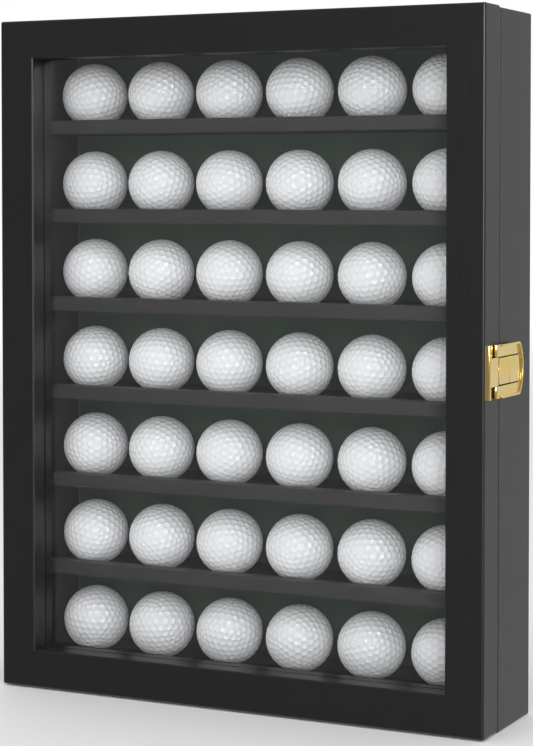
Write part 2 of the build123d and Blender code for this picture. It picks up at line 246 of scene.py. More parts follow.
def range_group():
    """Turns a 0 to 1 value into a value between Low and High."""
    group, given, result = shader_group(
        "between",
        [
            ("Value", "NodeSocketFloat", 0.5),
            ("Low", "NodeSocketFloat", 0.0),
            ("High", "NodeSocketFloat", 1.0),
        ],
        [("Value", "NodeSocketFloat")],
    )
    mapped = group.nodes.new("ShaderNodeMapRange")
    group.links.new(given.outputs["Value"], mapped.inputs["Value"])
    group.links.new(given.outputs["Low"], mapped.inputs["To Min"])
    group.links.new(given.outputs["High"], mapped.inputs["To Max"])
    mapped.inputs["From Min"].default_value = 0.3
    mapped.inputs["From Max"].default_value = 0.7
    group.links.new(mapped.outputs["Result"], result.inputs["Value"])
    return group


def shared(name, maker):
    """The shader group of that name, made the first time it is asked for."""
    return bpy.data.node_groups.get(name) or maker()


def new_material(name, **values):
    """Material with one Principled shader; values are its own sockets, by name."""
    material = bpy.data.materials.new(name)
    material.use_nodes = True
    shader = material.node_tree.nodes["Principled BSDF"]
    for socket, value in values.items():
        shader.inputs[socket.replace("_", " ")].default_value = value
    return material, shader


def add_group(material, name, maker, **values):
    """Places a shared group in a material, with its own values."""
    node = material.node_tree.nodes.new("ShaderNodeGroup")
    node.node_tree = shared(name, maker)
    for socket, value in values.items():
        node.inputs[socket.replace("_", " ")].default_value = value
    return node


def object_vector(material):
    """Object coordinates, in metres from the part's origin."""
    return material.node_tree.nodes.new("ShaderNodeTexCoord").outputs["Object"]


def noise(tree, vector, scale, detail, roughness=0.5, distortion=0.0):
    """Noise texture in a material's or a group's tree.  Its value is 0 to 1, mostly near 0.5."""
    texture = tree.nodes.new("ShaderNodeTexNoise")
    texture.inputs["Scale"].default_value = scale
    texture.inputs["Detail"].default_value = detail
    texture.inputs["Roughness"].default_value = roughness
    texture.inputs["Distortion"].default_value = distortion
    tree.links.new(vector, texture.inputs["Vector"])
    return texture


def vary_gloss(material, shader, value, low, high):
    """Lets a value move the shader's roughness between low and high."""
    gloss = add_group(material, "between", range_group, Low=low, High=high)
    material.node_tree.links.new(value, gloss.inputs["Value"])
    material.node_tree.links.new(gloss.outputs["Value"], shader.inputs["Roughness"])


def connect_bump(material, shader, height, distance, strength):
    """Feeds a height through a Bump node into the shader's normal."""
    bump = material.node_tree.nodes.new("ShaderNodeBump")
    bump.inputs["Distance"].default_value = distance
    bump.inputs["Strength"].default_value = strength
    material.node_tree.links.new(height, bump.inputs["Height"])
    material.node_tree.links.new(bump.outputs["Normal"], shader.inputs["Normal"])


def colour_between(material, value, dark, light):
    """Mixes two colours by a value."""
    mix = material.node_tree.nodes.new("ShaderNodeMix")
    mix.data_type = "RGBA"
    mix.inputs["A"].default_value = (*dark, 1)
    mix.inputs["B"].default_value = (*light, 1)
    material.node_tree.links.new(value, mix.inputs["Factor"])
    return mix.outputs["Result"]


# ---- Finishes -------------------------------------------------------------------------------


def inner_faces_group():
    """1 within the clear inside of the case, seen from the front, and 0 outside it."""
    group, given, result = shader_group(
        "inner_faces",
        [
            ("Vector", "NodeSocketVector", None),
            ("Middle", "NodeSocketVector", (0.0, 0.0, 0.0)),
            ("Half Size", "NodeSocketVector", (1.0, 1.0, 1.0)),
        ],
        [("Inside", "NodeSocketFloat")],
    )
    nodes, links = group.nodes, group.links
    away = nodes.new("ShaderNodeVectorMath")
    away.operation = "SUBTRACT"
    links.new(given.outputs["Vector"], away.inputs[0])
    links.new(given.outputs["Middle"], away.inputs[1])
    size = nodes.new("ShaderNodeVectorMath")
    size.operation = "ABSOLUTE"
    links.new(away.outputs[0], size.inputs[0])
    room = nodes.new("ShaderNodeVectorMath")
    room.operation = "SUBTRACT"
    links.new(given.outputs["Half Size"], room.inputs[0])
    links.new(size.outputs[0], room.inputs[1])
    split = nodes.new("ShaderNodeSeparateXYZ")
    links.new(room.outputs[0], split.inputs[0])
    least = nodes.new("ShaderNodeMath")
    least.operation = "MINIMUM"
    links.new(split.outputs["X"], least.inputs[0])
    links.new(split.outputs["Z"], least.inputs[1])
    test = nodes.new("ShaderNodeMath")
    test.operation = "GREATER_THAN"
    test.inputs[1].default_value = 0.0
    links.new(least.outputs[0], test.inputs[0])
    links.new(test.outputs[0], result.inputs["Inside"])
    return group


def lacquered_wood(name, grain_axis, dark, light, low_gloss, high_gloss, inside=None):
    """Black satin lacquer on close-grained wood: faint open grain along the member, and slow
    changes of gloss and colour.  inside is painted light: a lighter colour on the inner faces of
    the case that stands in for the light falling inside it."""
    material, shader = new_material(name, Specular_IOR_Level=0.5)
    links = material.node_tree.links
    stretch = {"X": (0.03, 1.0, 1.0), "Z": (1.0, 1.0, 0.03)}[grain_axis]
    lines = add_group(material, "fine_lines", streak_group, Line_Density=1400.0, Stretch=stretch)
    links.new(object_vector(material), lines.inputs["Vector"])
    colour = colour_between(material, lines.outputs["Clouds"], dark, light)
    # Painted light: the inner faces get a lighter colour that stands in for the light falling
    # inside the case
    if inside:
        low, high = (np.array(corner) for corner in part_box("felt_lining"))
        mask = add_group(
            material, "inner_faces", inner_faces_group,
            Middle=(low + high) / 2, Half_Size=(high - low) / 2 + 0.2 * MM,
        )
        links.new(object_vector(material), mask.inputs["Vector"])
        inner_light_mix = material.node_tree.nodes.new("ShaderNodeMix")
        inner_light_mix.data_type = "RGBA"
        links.new(mask.outputs["Inside"], inner_light_mix.inputs["Factor"])
        links.new(colour, inner_light_mix.inputs["A"])
        inner_light_mix.inputs["B"].default_value = (*inside, 1)
        colour = inner_light_mix.outputs["Result"]
    links.new(colour, shader.inputs["Base Color"])
    vary_gloss(material, shader, lines.outputs["Lines"], low_gloss, high_gloss)
    connect_bump(material, shader, lines.outputs["Lines"], 0.00004, 0.35)
    return material


def polished_brass(name, stretch):
    """Brass plate with fine polishing lines and slightly uneven lacquer."""
    finish = bpy.context.scene.case_finish
    material, shader = new_material(name, Metallic=1.0, Coat_Weight=0.1, Coat_Roughness=0.12)
    links = material.node_tree.links
    lines = add_group(material, "fine_lines", streak_group, Line_Density=2600.0, Stretch=stretch)
    links.new(object_vector(material), lines.inputs["Vector"])
    light = tuple(finish.brass)
    dark = tuple(channel * share for channel, share in zip(light, (0.88, 0.84, 0.72)))
    links.new(
        colour_between(material, lines.outputs["Lines"], dark, light),
        shader.inputs["Base Color"],
    )
    vary_gloss(material, shader, lines.outputs["Lines"], 0.13, 0.22)
    connect_bump(material, shader, lines.outputs["Lines"], 0.00002, 0.3)
    return material


def zinc_plate():
    """Bright zinc on stamped steel: cloudy, with faint rolling lines."""
    material, shader = new_material("zinc_plate", Metallic=1.0)
    links = material.node_tree.links
    lines = add_group(
        material, "fine_lines", streak_group, Line_Density=1800.0, Stretch=(1.0, 1.0, 0.05)
    )
    links.new(object_vector(material), lines.inputs["Vector"])
    links.new(
        colour_between(material, lines.outputs["Clouds"], (0.42, 0.43, 0.46), (0.72, 0.73, 0.76)),
        shader.inputs["Base Color"],
    )
    vary_gloss(material, shader, lines.outputs["Clouds"], 0.28, 0.45)
    connect_bump(material, shader, lines.outputs["Lines"], 0.00002, 0.3)
    return material


def green_felt():
    """Matted wool: short curled fibres as fine noise, with soft patches and a sheen."""
    finish = bpy.context.scene.case_finish
    material, shader = new_material("green_felt", Roughness=0.95, Sheen_Weight=0.35)
    tree = material.node_tree
    fibres = noise(tree, object_vector(material), scale=1800.0, detail=4.0, distortion=2.0)
    light = tuple(finish.felt)
    dark = tuple(channel * 0.5 for channel in light)
    tree.links.new(
        colour_between(material, fibres.outputs["Fac"], dark, light), shader.inputs["Base Color"]
    )
    connect_bump(material, shader, fibres.outputs["Fac"], 0.0003, 0.8)
    return material


def hardboard():
    """Pressed brown board: mottled fibre with darker flecks."""
    material, shader = new_material("hardboard", Roughness=0.75)
    tree = material.node_tree
    mottle = noise(tree, object_vector(material), 260.0, 6.0, roughness=0.7, distortion=1.2)
    tree.links.new(
        colour_between(material, mottle.outputs["Fac"], (0.07, 0.042, 0.022), (0.22, 0.14, 0.08)),
        shader.inputs["Base Color"],
    )
    connect_bump(material, shader, mottle.outputs["Fac"], 0.0002, 0.5)
    return material


def clear_glass():
    """Float glass.  Light for the things behind it passes straight through."""
    material, shader = new_material(
        "clear_glass",
        Base_Color=(0.985, 0.99, 0.99, 1),
        Roughness=0.0,
        IOR=1.5,
        Transmission_Weight=1.0,
    )
    nodes, links = material.node_tree.nodes, material.node_tree.links
    passing = nodes.new("ShaderNodeBsdfTransparent")
    passing.inputs["Color"].default_value = (0.95, 0.955, 0.955, 1)
    path = nodes.new("ShaderNodeLightPath")
    either = nodes.new("ShaderNodeMath")
    either.operation = "MAXIMUM"
    links.new(path.outputs["Is Shadow Ray"], either.inputs[0])
    links.new(path.outputs["Is Diffuse Ray"], either.inputs[1])
    mix = nodes.new("ShaderNodeMixShader")
    links.new(either.outputs[0], mix.inputs["Fac"])
    links.new(shader.outputs["BSDF"], mix.inputs[1])
    links.new(passing.outputs["BSDF"], mix.inputs[2])
    links.new(mix.outputs["Shader"], nodes["Material Output"].inputs["Surface"])
    return material


def ball_cover():
    """Moulded white cover under clear paint, very slightly uneven in tone."""
    finish = bpy.context.scene.case_finish
    material, shader = new_material(
        "ball_cover",
        Diffuse_Roughness=0.15,
        Roughness=0.4,
        Specular_IOR_Level=0.2,
        Coat_Weight=1.0,
        Coat_Roughness=0.06,
    )
    tree = material.node_tree
    tone = noise(tree, object_vector(material), scale=90.0, detail=3.0)
    light = tuple(finish.ball)
    dark = tuple(channel * 0.95 for channel in light)
    tree.links.new(
        colour_between(material, tone.outputs["Fac"], dark, light), shader.inputs["Base Color"]
    )
    connect_bump(material, shader, tone.outputs["Fac"], 0.00001, 0.2)
    return material


# ---- Golf balls -----------------------------------------------------------------------------


def face_lattice(size):
    """Steps i and j over a square lattice, and a mask of its half with i + j at most size."""
    i, j = np.meshgrid(np.arange(size + 1), np.arange(size + 1), indexing="ij")
    return i, j, i + j <= size


def dimple_lattice(rows):
    """Points of one triangular face of the ball, in lattice steps i and j along two of its
    edges, with the depth of each from 0 to 1.  Dimple centres are DIMPLE_STEPS apart.  Each
    hexagonal ring of points around a centre is drawn onto a circle of its own radius, the last
    of which is the dimple's rim, and sinks by one minus the squared share of the rim's radius.
    The points left between the rims stay where they are."""
    i, j, inside = face_lattice(rows * DIMPLE_STEPS)
    i, j = i[inside], j[inside]
    shifts = np.array(list(itertools.product((0, DIMPLE_STEPS), repeat=2)))
    off_i = i % DIMPLE_STEPS - shifts[:, :1]
    off_j = j % DIMPLE_STEPS - shifts[:, 1:]
    lengths = np.sqrt(off_i**2 + off_j**2 + off_i * off_j)
    nearest = lengths.argmin(axis=0), np.arange(len(i))
    off_i, off_j, length = off_i[nearest], off_j[nearest], lengths[nearest]
    ring = np.maximum(np.maximum(abs(off_i), abs(off_j)), abs(off_i + off_j))
    in_dimple = ring < len(RING_RADII)
    radius = np.where(in_dimple, RING_RADII[np.minimum(ring, len(RING_RADII) - 1)], length)
    drawn = radius / np.maximum(length, 1) - 1
    sunk = np.where(in_dimple, 1 - (radius / RING_RADII[-1]) ** 2, 0)
    return i + off_i * drawn, j + off_j * drawn, sunk


def icosahedron():
    """Corners at the cyclic turns of (0, 1, golden ratio) with all signs, and the faces: three
    corners each an edge, of length 2, apart, in the order that points the face outwards."""
    golden = (1 + math.sqrt(5)) / 2
    corners = np.array(
        [
            np.roll((0, one, two * golden), turn)
            for turn in range(3)
            for one in (-1, 1)
            for two in (-1, 1)
        ]
    )
    edge = 2.0
    triples = np.array(list(itertools.combinations(range(len(corners)), 3)))
    sides = [np.linalg.norm(corners[triples[:, a]] - corners[triples[:, b]], axis=1)
             for a, b in ((0, 1), (1, 2), (2, 0))]
    triples = triples[np.all(np.abs(np.array(sides) - edge) < 1e-6, axis=0)]
    first, second, third = (corners[triples[:, k]] for k in range(3))
    inward = np.einsum("ij,ij->i", np.cross(second - first, third - first), first) < 0
    triples[inward] = triples[inward][:, [0, 2, 1]]
    return corners, triples


def dimpled_ball(radius, rows, depth):
    """Ball on the faces of an icosahedron.  Each lattice point is the average of its face's
    corners with weights size - i - j, i and j, pushed out to the ball's radius less its depth,
    and points that two faces share become one."""
    corners, triples = icosahedron()
    size = rows * DIMPLE_STEPS
    drawn_i, drawn_j, sunk = dimple_lattice(rows)
    weights = np.stack([size - drawn_i - drawn_j, drawn_i, drawn_j], axis=-1) / size
    points = np.einsum("nk,fkc->fnc", weights, corners[triples])
    points *= (radius - depth * sunk)[:, None] / np.linalg.norm(points, axis=-1, keepdims=True)
    i, j, inside = face_lattice(size)
    order = np.full(i.shape, -1)
    order[inside] = np.arange(inside.sum())
    near = i + j < size
    far = i + j < size - 1
    a, b = i[near], j[near]
    up = np.stack([order[a, b], order[a + 1, b], order[a, b + 1]], axis=-1)
    a, b = i[far], j[far]
    down = np.stack([order[a + 1, b], order[a + 1, b + 1], order[a, b + 1]], axis=-1)
    faces = np.concatenate([up, down])
    shift = (np.arange(len(triples)) * len(weights))[:, None, None]
    faces = (faces[None] + shift).reshape(-1, 3)
    points = points.reshape(-1, 3)
    _, kept, meaning = np.unique(
        np.round(points, 7), axis=0, return_index=True, return_inverse=True
    )
    return points[kept], meaning.reshape(-1)[faces]


def random_turns(count, seed):
    """Rotation matrices from evenly spread random quaternions."""
    four = np.random.default_rng(seed).normal(size=(count, 4))
    w, x, y, z = (four / np.linalg.norm(four, axis=1, keepdims=True)).T
    rows = [
        [1 - 2 * (y * y + z * z), 2 * (x * y - w * z), 2 * (x * z + w * y)],
        [2 * (x * y + w * z), 1 - 2 * (x * x + z * z), 2 * (y * z - w * x)],
        [2 * (x * z - w * y), 2 * (y * z + w * x), 1 - 2 * (x * x + y * y)],
    ]
    return np.moveaxis(np.array(rows), 2, 0)


def ball_centres(board, balls):
    """Centres of a board's balls: evenly spaced over its length, resting in its cove."""
    low, high = (np.array(corner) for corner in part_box(board))
    ends = [np.array(corner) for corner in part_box("felt_lining")]
    length = ends[1][0] - ends[0][0]
    gap = (length - balls.per_row * balls.diameter) / (balls.per_row + 1)
    pitch = balls.diameter + gap
    x = (np.arange(balls.per_row) - (balls.per_row - 1) / 2) * pitch
    height = high[2] - balls.cove_depth + balls.diameter / 2
    return np.stack([x, np.full_like(x, (low[1] + high[1]) / 2), np.full_like(x, height)], axis=-1)


# ---- Screws ---------------------------------------------------------------------------------


def screw_shape(sizes):
    """Countersunk screw whose head lies in the plane z = 0, with the shank below it.  The head's
    top sinks by the recess depth where a point is within the cross: within SLOT_WIDTH less a
    slope of SLOT_SIDE of either axis, and less and less over SLOT_END up to SLOT_REACH."""
    rings = np.linspace(0, sizes.head_radius * 0.94, 26)
    shank, head, length = sizes.shank_radius, sizes.head_radius, sizes.screw_length
    side_radii = [head, head * 0.99, shank, shank, 0]
    side_heights = [-0.06 * MM, -0.14 * MM, shank - head, 2 * shank - length, -length]
    radii = np.concatenate([rings, side_radii])
    heights = np.concatenate([np.zeros_like(rings), side_heights])
    points, faces = turned(radii, heights, CIRCLE_POINTS)
    nearer = np.minimum(abs(points[:, 0]), abs(points[:, 1]))
    farther = np.maximum(abs(points[:, 0]), abs(points[:, 1]))
    across = np.clip((SLOT_WIDTH - nearer) / SLOT_SIDE, 0, 1)
    along = np.clip((SLOT_REACH - farther) / SLOT_END, 0, 1)
    top = points[:, 2] > -0.01 * MM
    points[:, 2] -= np.where(top, sizes.recess_depth * across * along, 0)
    return points, faces


def pair_of_places(middle, spread, outward):
    """Places of two screws at middle plus and minus spread, whose heads face outward, each
    turned about its own axis by its own angle in radians."""
    outward = np.array(outward, dtype=float)
    sideways = np.array([outward[1], -outward[0], 0.0])
    upwards = np.cross(outward, sideways)
    places = np.tile(np.eye(4), (2, 1, 1))
    for place, way, turn in zip(places, (-1, 1), (0.5, 1.15)):
        place[:3, 0] = math.cos(turn) * sideways + math.sin(turn) * upwards
        place[:3, 1] = np.cross(outward, place[:3, 0])
        place[:3, 2] = outward
        place[:3, 3] = np.array(middle) + way * np.array(spread)
    return places


# ---- Settings -------------------------------------------------------------------------------


class BallSettings(bpy.types.PropertyGroup):
    """Sizes of the golf balls and how they lie."""

    diameter: FloatProperty(
        name="Diameter", description="Diameter of a ball", default=42.67 * MM,
        subtype="DISTANCE", unit="LENGTH", precision=5,
    )
    per_row: IntProperty(name="Balls per row", description="Balls on each board", default=6)
    cove_depth: FloatProperty(
        name="Cove depth", description="How deep the balls sink below a board's top",
        default=5.0 * MM, subtype="DISTANCE", unit="LENGTH", precision=5,
    )
    dimple_rows: IntProperty(
        name="Dimple rows", description="Dimples along one side of the pattern's faces", default=6
    )
    dimple_depth: FloatProperty(
        name="Dimple depth", description="Depth of a dimple's middle", default=0.5 * MM,
        subtype="DISTANCE", unit="LENGTH", precision=5,
    )
    seed: IntProperty(name="Seed", description="Sets how the balls are turned", default=7)


class FinishSettings(bpy.types.PropertyGroup):
    """Colours of the case and its contents."""

    lacquer: FloatVectorProperty(
        name="Lacquer", description="Black lacquer on the case and the door", size=3,
        default=(0.0075, 0.0075, 0.008), subtype="COLOR", min=0, max=1,
    )
    # Painted light: a lighter colour on the inner faces that stands in for the light falling
    # inside the case
    inner_painted_light: FloatVectorProperty(
        name="Inner painted light", description="Lighter colour on the inner faces of the case, painted light", size=3,
        default=(0.05, 0.05, 0.05), subtype="COLOR", min=0, max=1,
    )
    board: FloatVectorProperty(
        name="Boards", description="Satin black of the grooved boards", size=3,
        default=(0.0185, 0.0178, 0.0168), subtype="COLOR", min=0, max=1,
    )
    brass: FloatVectorProperty(
        name="Brass", description="Brass of the latch and hinges", size=3,
        default=(0.94, 0.72, 0.27), subtype="COLOR", min=0, max=1,
    )
    felt: FloatVectorProperty(
        name="Felt", description="Felt behind the balls", size=3,
        default=(0.075, 0.115, 0.085), subtype="COLOR", min=0, max=1,
    )
    ball: FloatVectorProperty(
        name="Ball", description="White of the balls", size=3,
        default=(0.92, 0.92, 0.94), subtype="COLOR", min=0, max=1,
    )


class HardwareSettings(bpy.types.PropertyGroup):
    """Sizes of the small metal parts that the frame doesn't hold."""

    edge: FloatProperty(
        name="Edge", description="Rounding of the stamped edges", default=0.15 * MM,
        subtype="DISTANCE", unit="LENGTH", precision=5,
    )
    head_radius: FloatProperty(
        name="Head", description="Radius of a screw's head", default=2.15 * MM,
        subtype="DISTANCE", unit="LENGTH", precision=5,
    )
    shank_radius: FloatProperty(
        name="Shank", description="Radius of a screw's shank", default=0.95 * MM,
        subtype="DISTANCE", unit="LENGTH", precision=5,
    )
    screw_length: FloatProperty(
        name="Length", description="Length of a screw", default=7.0 * MM,
        subtype="DISTANCE", unit="LENGTH", precision=5,
    )
    recess_depth: FloatProperty(
        name="Recess", description="Depth of the cross in a screw's head", default=0.8 * MM,
        subtype="DISTANCE", unit="LENGTH", precision=5,
    )
    plate: FloatProperty(
        name="Plate", description="Thickness of the screwed plates", default=1.2 * MM,
        subtype="DISTANCE", unit="LENGTH", precision=5,
    )
    hinge_screw_inset: FloatProperty(
        name="Hinge inset", description="From a leaf's inner edge to its screws",
        default=5.7 * MM, subtype="DISTANCE", unit="LENGTH", precision=5,
    )
    hinge_screw_spread: FloatProperty(
        name="Hinge spread", description="From a leaf's middle to each screw",
        default=13.0 * MM, subtype="DISTANCE", unit="LENGTH", precision=5,
    )
    catch_screw_spread: FloatProperty(
        name="Catch spread", description="From the catch's middle to each screw",
        default=7.0 * MM, subtype="DISTANCE", unit="LENGTH", precision=5,
    )
    hanger_screw_spread: FloatProperty(
        name="Hanger spread", description="From a hanger's middle to each screw",
        default=15.0 * MM, subtype="DISTANCE", unit="LENGTH", precision=5,
    )


class StageSettings(bpy.types.PropertyGroup):
    """Camera, floor and light."""

    camera_place: FloatVectorProperty(
        name="Camera", description="Where the camera stands", size=3,
        default=(0.6093, -1.2166, 0.3219), subtype="TRANSLATION", unit="LENGTH",
    )
    camera_turn: FloatProperty(
        name="Turn", description="Camera's turn to the left of straight ahead",
        default=math.radians(26.387), subtype="ANGLE", unit="ROTATION",
    )
    camera_tilt: FloatProperty(
        name="Tilt", description="Camera's tilt below level",
        default=math.radians(1.862), subtype="ANGLE", unit="ROTATION",
    )
    camera_lens: FloatProperty(name="Lens", description="Focal length", default=104.28)
    camera_shift: FloatProperty(
        name="Shift", description="Lens shift up, as a share of the frame's height", default=-0.15
    )
    floor_radius: FloatProperty(
        name="Floor", description="Radius of the flat floor", default=4.0,
        subtype="DISTANCE", unit="LENGTH",
    )


# ---- Steps ----------------------------------------------------------------------------------


class CASE_OT_wood(bpy.types.Operator):
    """Lacquers the carcass, the door frame and the beads"""

    bl_idname = "case.wood"
    bl_label = "Lacquered wood"

    def execute(self, context):
        black = tuple(context.scene.case_finish.lacquer)
        # Painted light: the carcass materials colour their inner faces lighter, in place of the
        # light falling inside the case
        inner = tuple(context.scene.case_finish.inner_painted_light)
        dark = tuple(channel * 0.75 for channel in black)
        gloss = (0.38, 0.46)
        for axis, nodes in (("Z", UPRIGHT_WOOD + UPRIGHT_BEADS), ("X", LEVEL_WOOD + LEVEL_BEADS)):
            grain = axis.lower()
            wood = lacquered_wood(f"black_wood_{grain}", axis, dark, black, *gloss)
            carcass = lacquered_wood(f"black_carcass_{grain}", axis, dark, black, *gloss, inner)
            for node in nodes:
                paint(node, carcass if node in CARCASS else wood)
        return {"FINISHED"}


class CASE_OT_boards(bpy.types.Operator):
    """Paints the grooved rack and the six shelves"""

    bl_idname = "case.boards"
    bl_label = "Grooved boards"

    def execute(self, context):
        light = tuple(context.scene.case_finish.board)
        dark = tuple(channel * 0.8 for channel in light)
        satin = lacquered_wood("black_boards", "X", dark, light, low_gloss=0.45, high_gloss=0.6)
        for node in BOARDS:
            paint(node, satin)
        return {"FINISHED"}


class CASE_OT_back(bpy.types.Operator):
    """Makes the felt lining and finishes the back panel"""

    bl_idname = "case.back"
    bl_label = "Back panel and felt"

    def execute(self, context):
        paint("back_panel", hardboard())
        low, high = (np.array(corner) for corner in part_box("felt_lining"))
        across, up = FELT_POINTS
        x, z = np.meshgrid(
            np.linspace(low[0], high[0], across), np.linspace(low[2], high[2], up), indexing="ij"
        )
        # Matted surface: sum of crossed waves with slowly changing length, from 0 to 1
        waves = (
            np.sin(x * 2100 + 3 * np.sin(z * 300)) + np.sin(z * 1900 + 3 * np.sin(x * 260))
        ) / 4 + 0.5
        sunk = FELT_SINK * (high[1] - low[1]) * waves
        front = np.stack([x, low[1] + sunk, z], axis=-1)
        back = np.stack([x, np.full_like(x, high[1]), z], axis=-1)
        felt = mesh_object("felt_sheet", *slab(front, back))
        give(felt, green_felt(), "case")
        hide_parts("felt_lining")
        return {"FINISHED"}


class CASE_OT_glass(bpy.types.Operator):
    """Glazes the door"""

    bl_idname = "case.glass"
    bl_label = "Pane"

    def execute(self, context):
        paint("door_glass", clear_glass())
        return {"FINISHED"}


class CASE_OT_balls(bpy.types.Operator):
    """Lays a row of dimpled golf balls in each board's cove"""

    bl_idname = "case.balls"
    bl_label = "Golf balls"

    def execute(self, context):
        balls = context.scene.case_balls
        points, faces = dimpled_ball(balls.diameter / 2, balls.dimple_rows, balls.dimple_depth)
        cover = ball_cover()
        for number, board in enumerate(BOARDS, start=1):
            places = np.tile(np.eye(4), (balls.per_row, 1, 1))
            places[:, :3, :3] = random_turns(balls.per_row, balls.seed + number)
            places[:, :3, 3] = ball_centres(board, balls)
            shapes = several(points, faces, places)
            row = mesh_object(f"golf_balls_row_{number}", *shapes, crease=12)
            give(row, cover, "case")
            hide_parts(f"ball_row_{number}")
        return {"FINISHED"}


class CASE_OT_hinges(bpy.types.Operator):
    """Finishes the two butt hinges"""

    bl_idname = "case.hinges"
    bl_label = "Butt hinges"

    def execute(self, context):
        edge = context.scene.case_hardware.edge
        brass = polished_brass("hinge_brass", (1.0, 1.0, 0.03))
        for place in HINGE_PLACES:
            for part, body in (("case_leaf", "case"), ("door_leaf", "door"), ("pin", "case")):
                node = f"{place}_hinge_{part}"
                give(softened(node, f"{node}_brass", edge), brass, body)
        return {"FINISHED"}


class CASE_OT_latch(bpy.types.Operator):
    """Finishes the flap latch, its cover, pin and catch"""

    bl_idname = "case.latch"
    bl_label = "Flap latch"

    def execute(self, context):
        edge = context.scene.case_hardware.edge
        brass = polished_brass("latch_brass", (1.0, 1.0, 0.02))
        for node, body in (
            ("latch_cover", "door"),
            ("latch_pin", "door"),
            ("latch_flap", "latch"),
            ("latch_catch", "case"),
        ):
            give(softened(node, f"{node}_brass", edge), brass, body)
        return {"FINISHED"}


class CASE_OT_hangers(bpy.types.Operator):
    """Finishes the two keyhole hangers"""

    bl_idname = "case.hangers"
    bl_label = "Keyhole hangers"

    def execute(self, context):
        edge = context.scene.case_hardware.edge
        zinc = zinc_plate()
        for node in HANGERS:
            give(softened(node, f"{node}_zinc", edge), zinc, "case")
        return {"FINISHED"}


class CASE_OT_screws(bpy.types.Operator):
    """Sets the countersunk screws in the holes of the hinges, the catch and the hangers"""

    bl_idname = "case.screws"
    bl_label = "Screws"

    def execute(self, context):
        sizes = context.scene.case_hardware
        points, faces = screw_shape(sizes)
        brass = polished_brass("screw_brass", (1.0, 1.0, 1.0))
        zinc = bpy.data.materials["zinc_plate"]
        sheet = sizes.plate
        groups = {
            "hinge_case_screws": ("case", brass, "brass", []),
            "hinge_door_screws": ("door", brass, "brass", []),
            "catch_screws": ("case", brass, "brass", []),
            "hanger_screws": ("case", zinc, "zinc_steel", []),
        }
        for place in HINGE_PLACES:
            for part, outward in (("case", (0, -1, 0)), ("door", (0, 1, 0))):
                low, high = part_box(f"{place}_hinge_{part}_leaf")
                y = high.y - sheet if part == "case" else low.y + sheet
                middle = (high.x - sizes.hinge_screw_inset, y, (low.z + high.z) / 2)
                groups[f"hinge_{part}_screws"][3].extend(
                    pair_of_places(middle, (0, 0, sizes.hinge_screw_spread), outward)
                )
        low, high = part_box("latch_catch")
        middle = (low.x + sheet, (low.y + high.y) / 2, (low.z + high.z) / 2)
        groups["catch_screws"][3].extend(
            pair_of_places(middle, (0, sizes.catch_screw_spread, 0), (1, 0, 0))
        )
        for node in HANGERS:
            low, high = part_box(node)
            middle = ((low.x + high.x) / 2, high.y, (low.z + high.z) / 2)
            groups["hanger_screws"][3].extend(
                pair_of_places(middle, (0, 0, sizes.hanger_screw_spread), (0, 1, 0))
            )
        for name, (body, material, slot, places) in groups.items():
            screws = mesh_object(name, *several(points, faces, places), crease=30)
            give(screws, material, body)
        return {"FINISHED"}


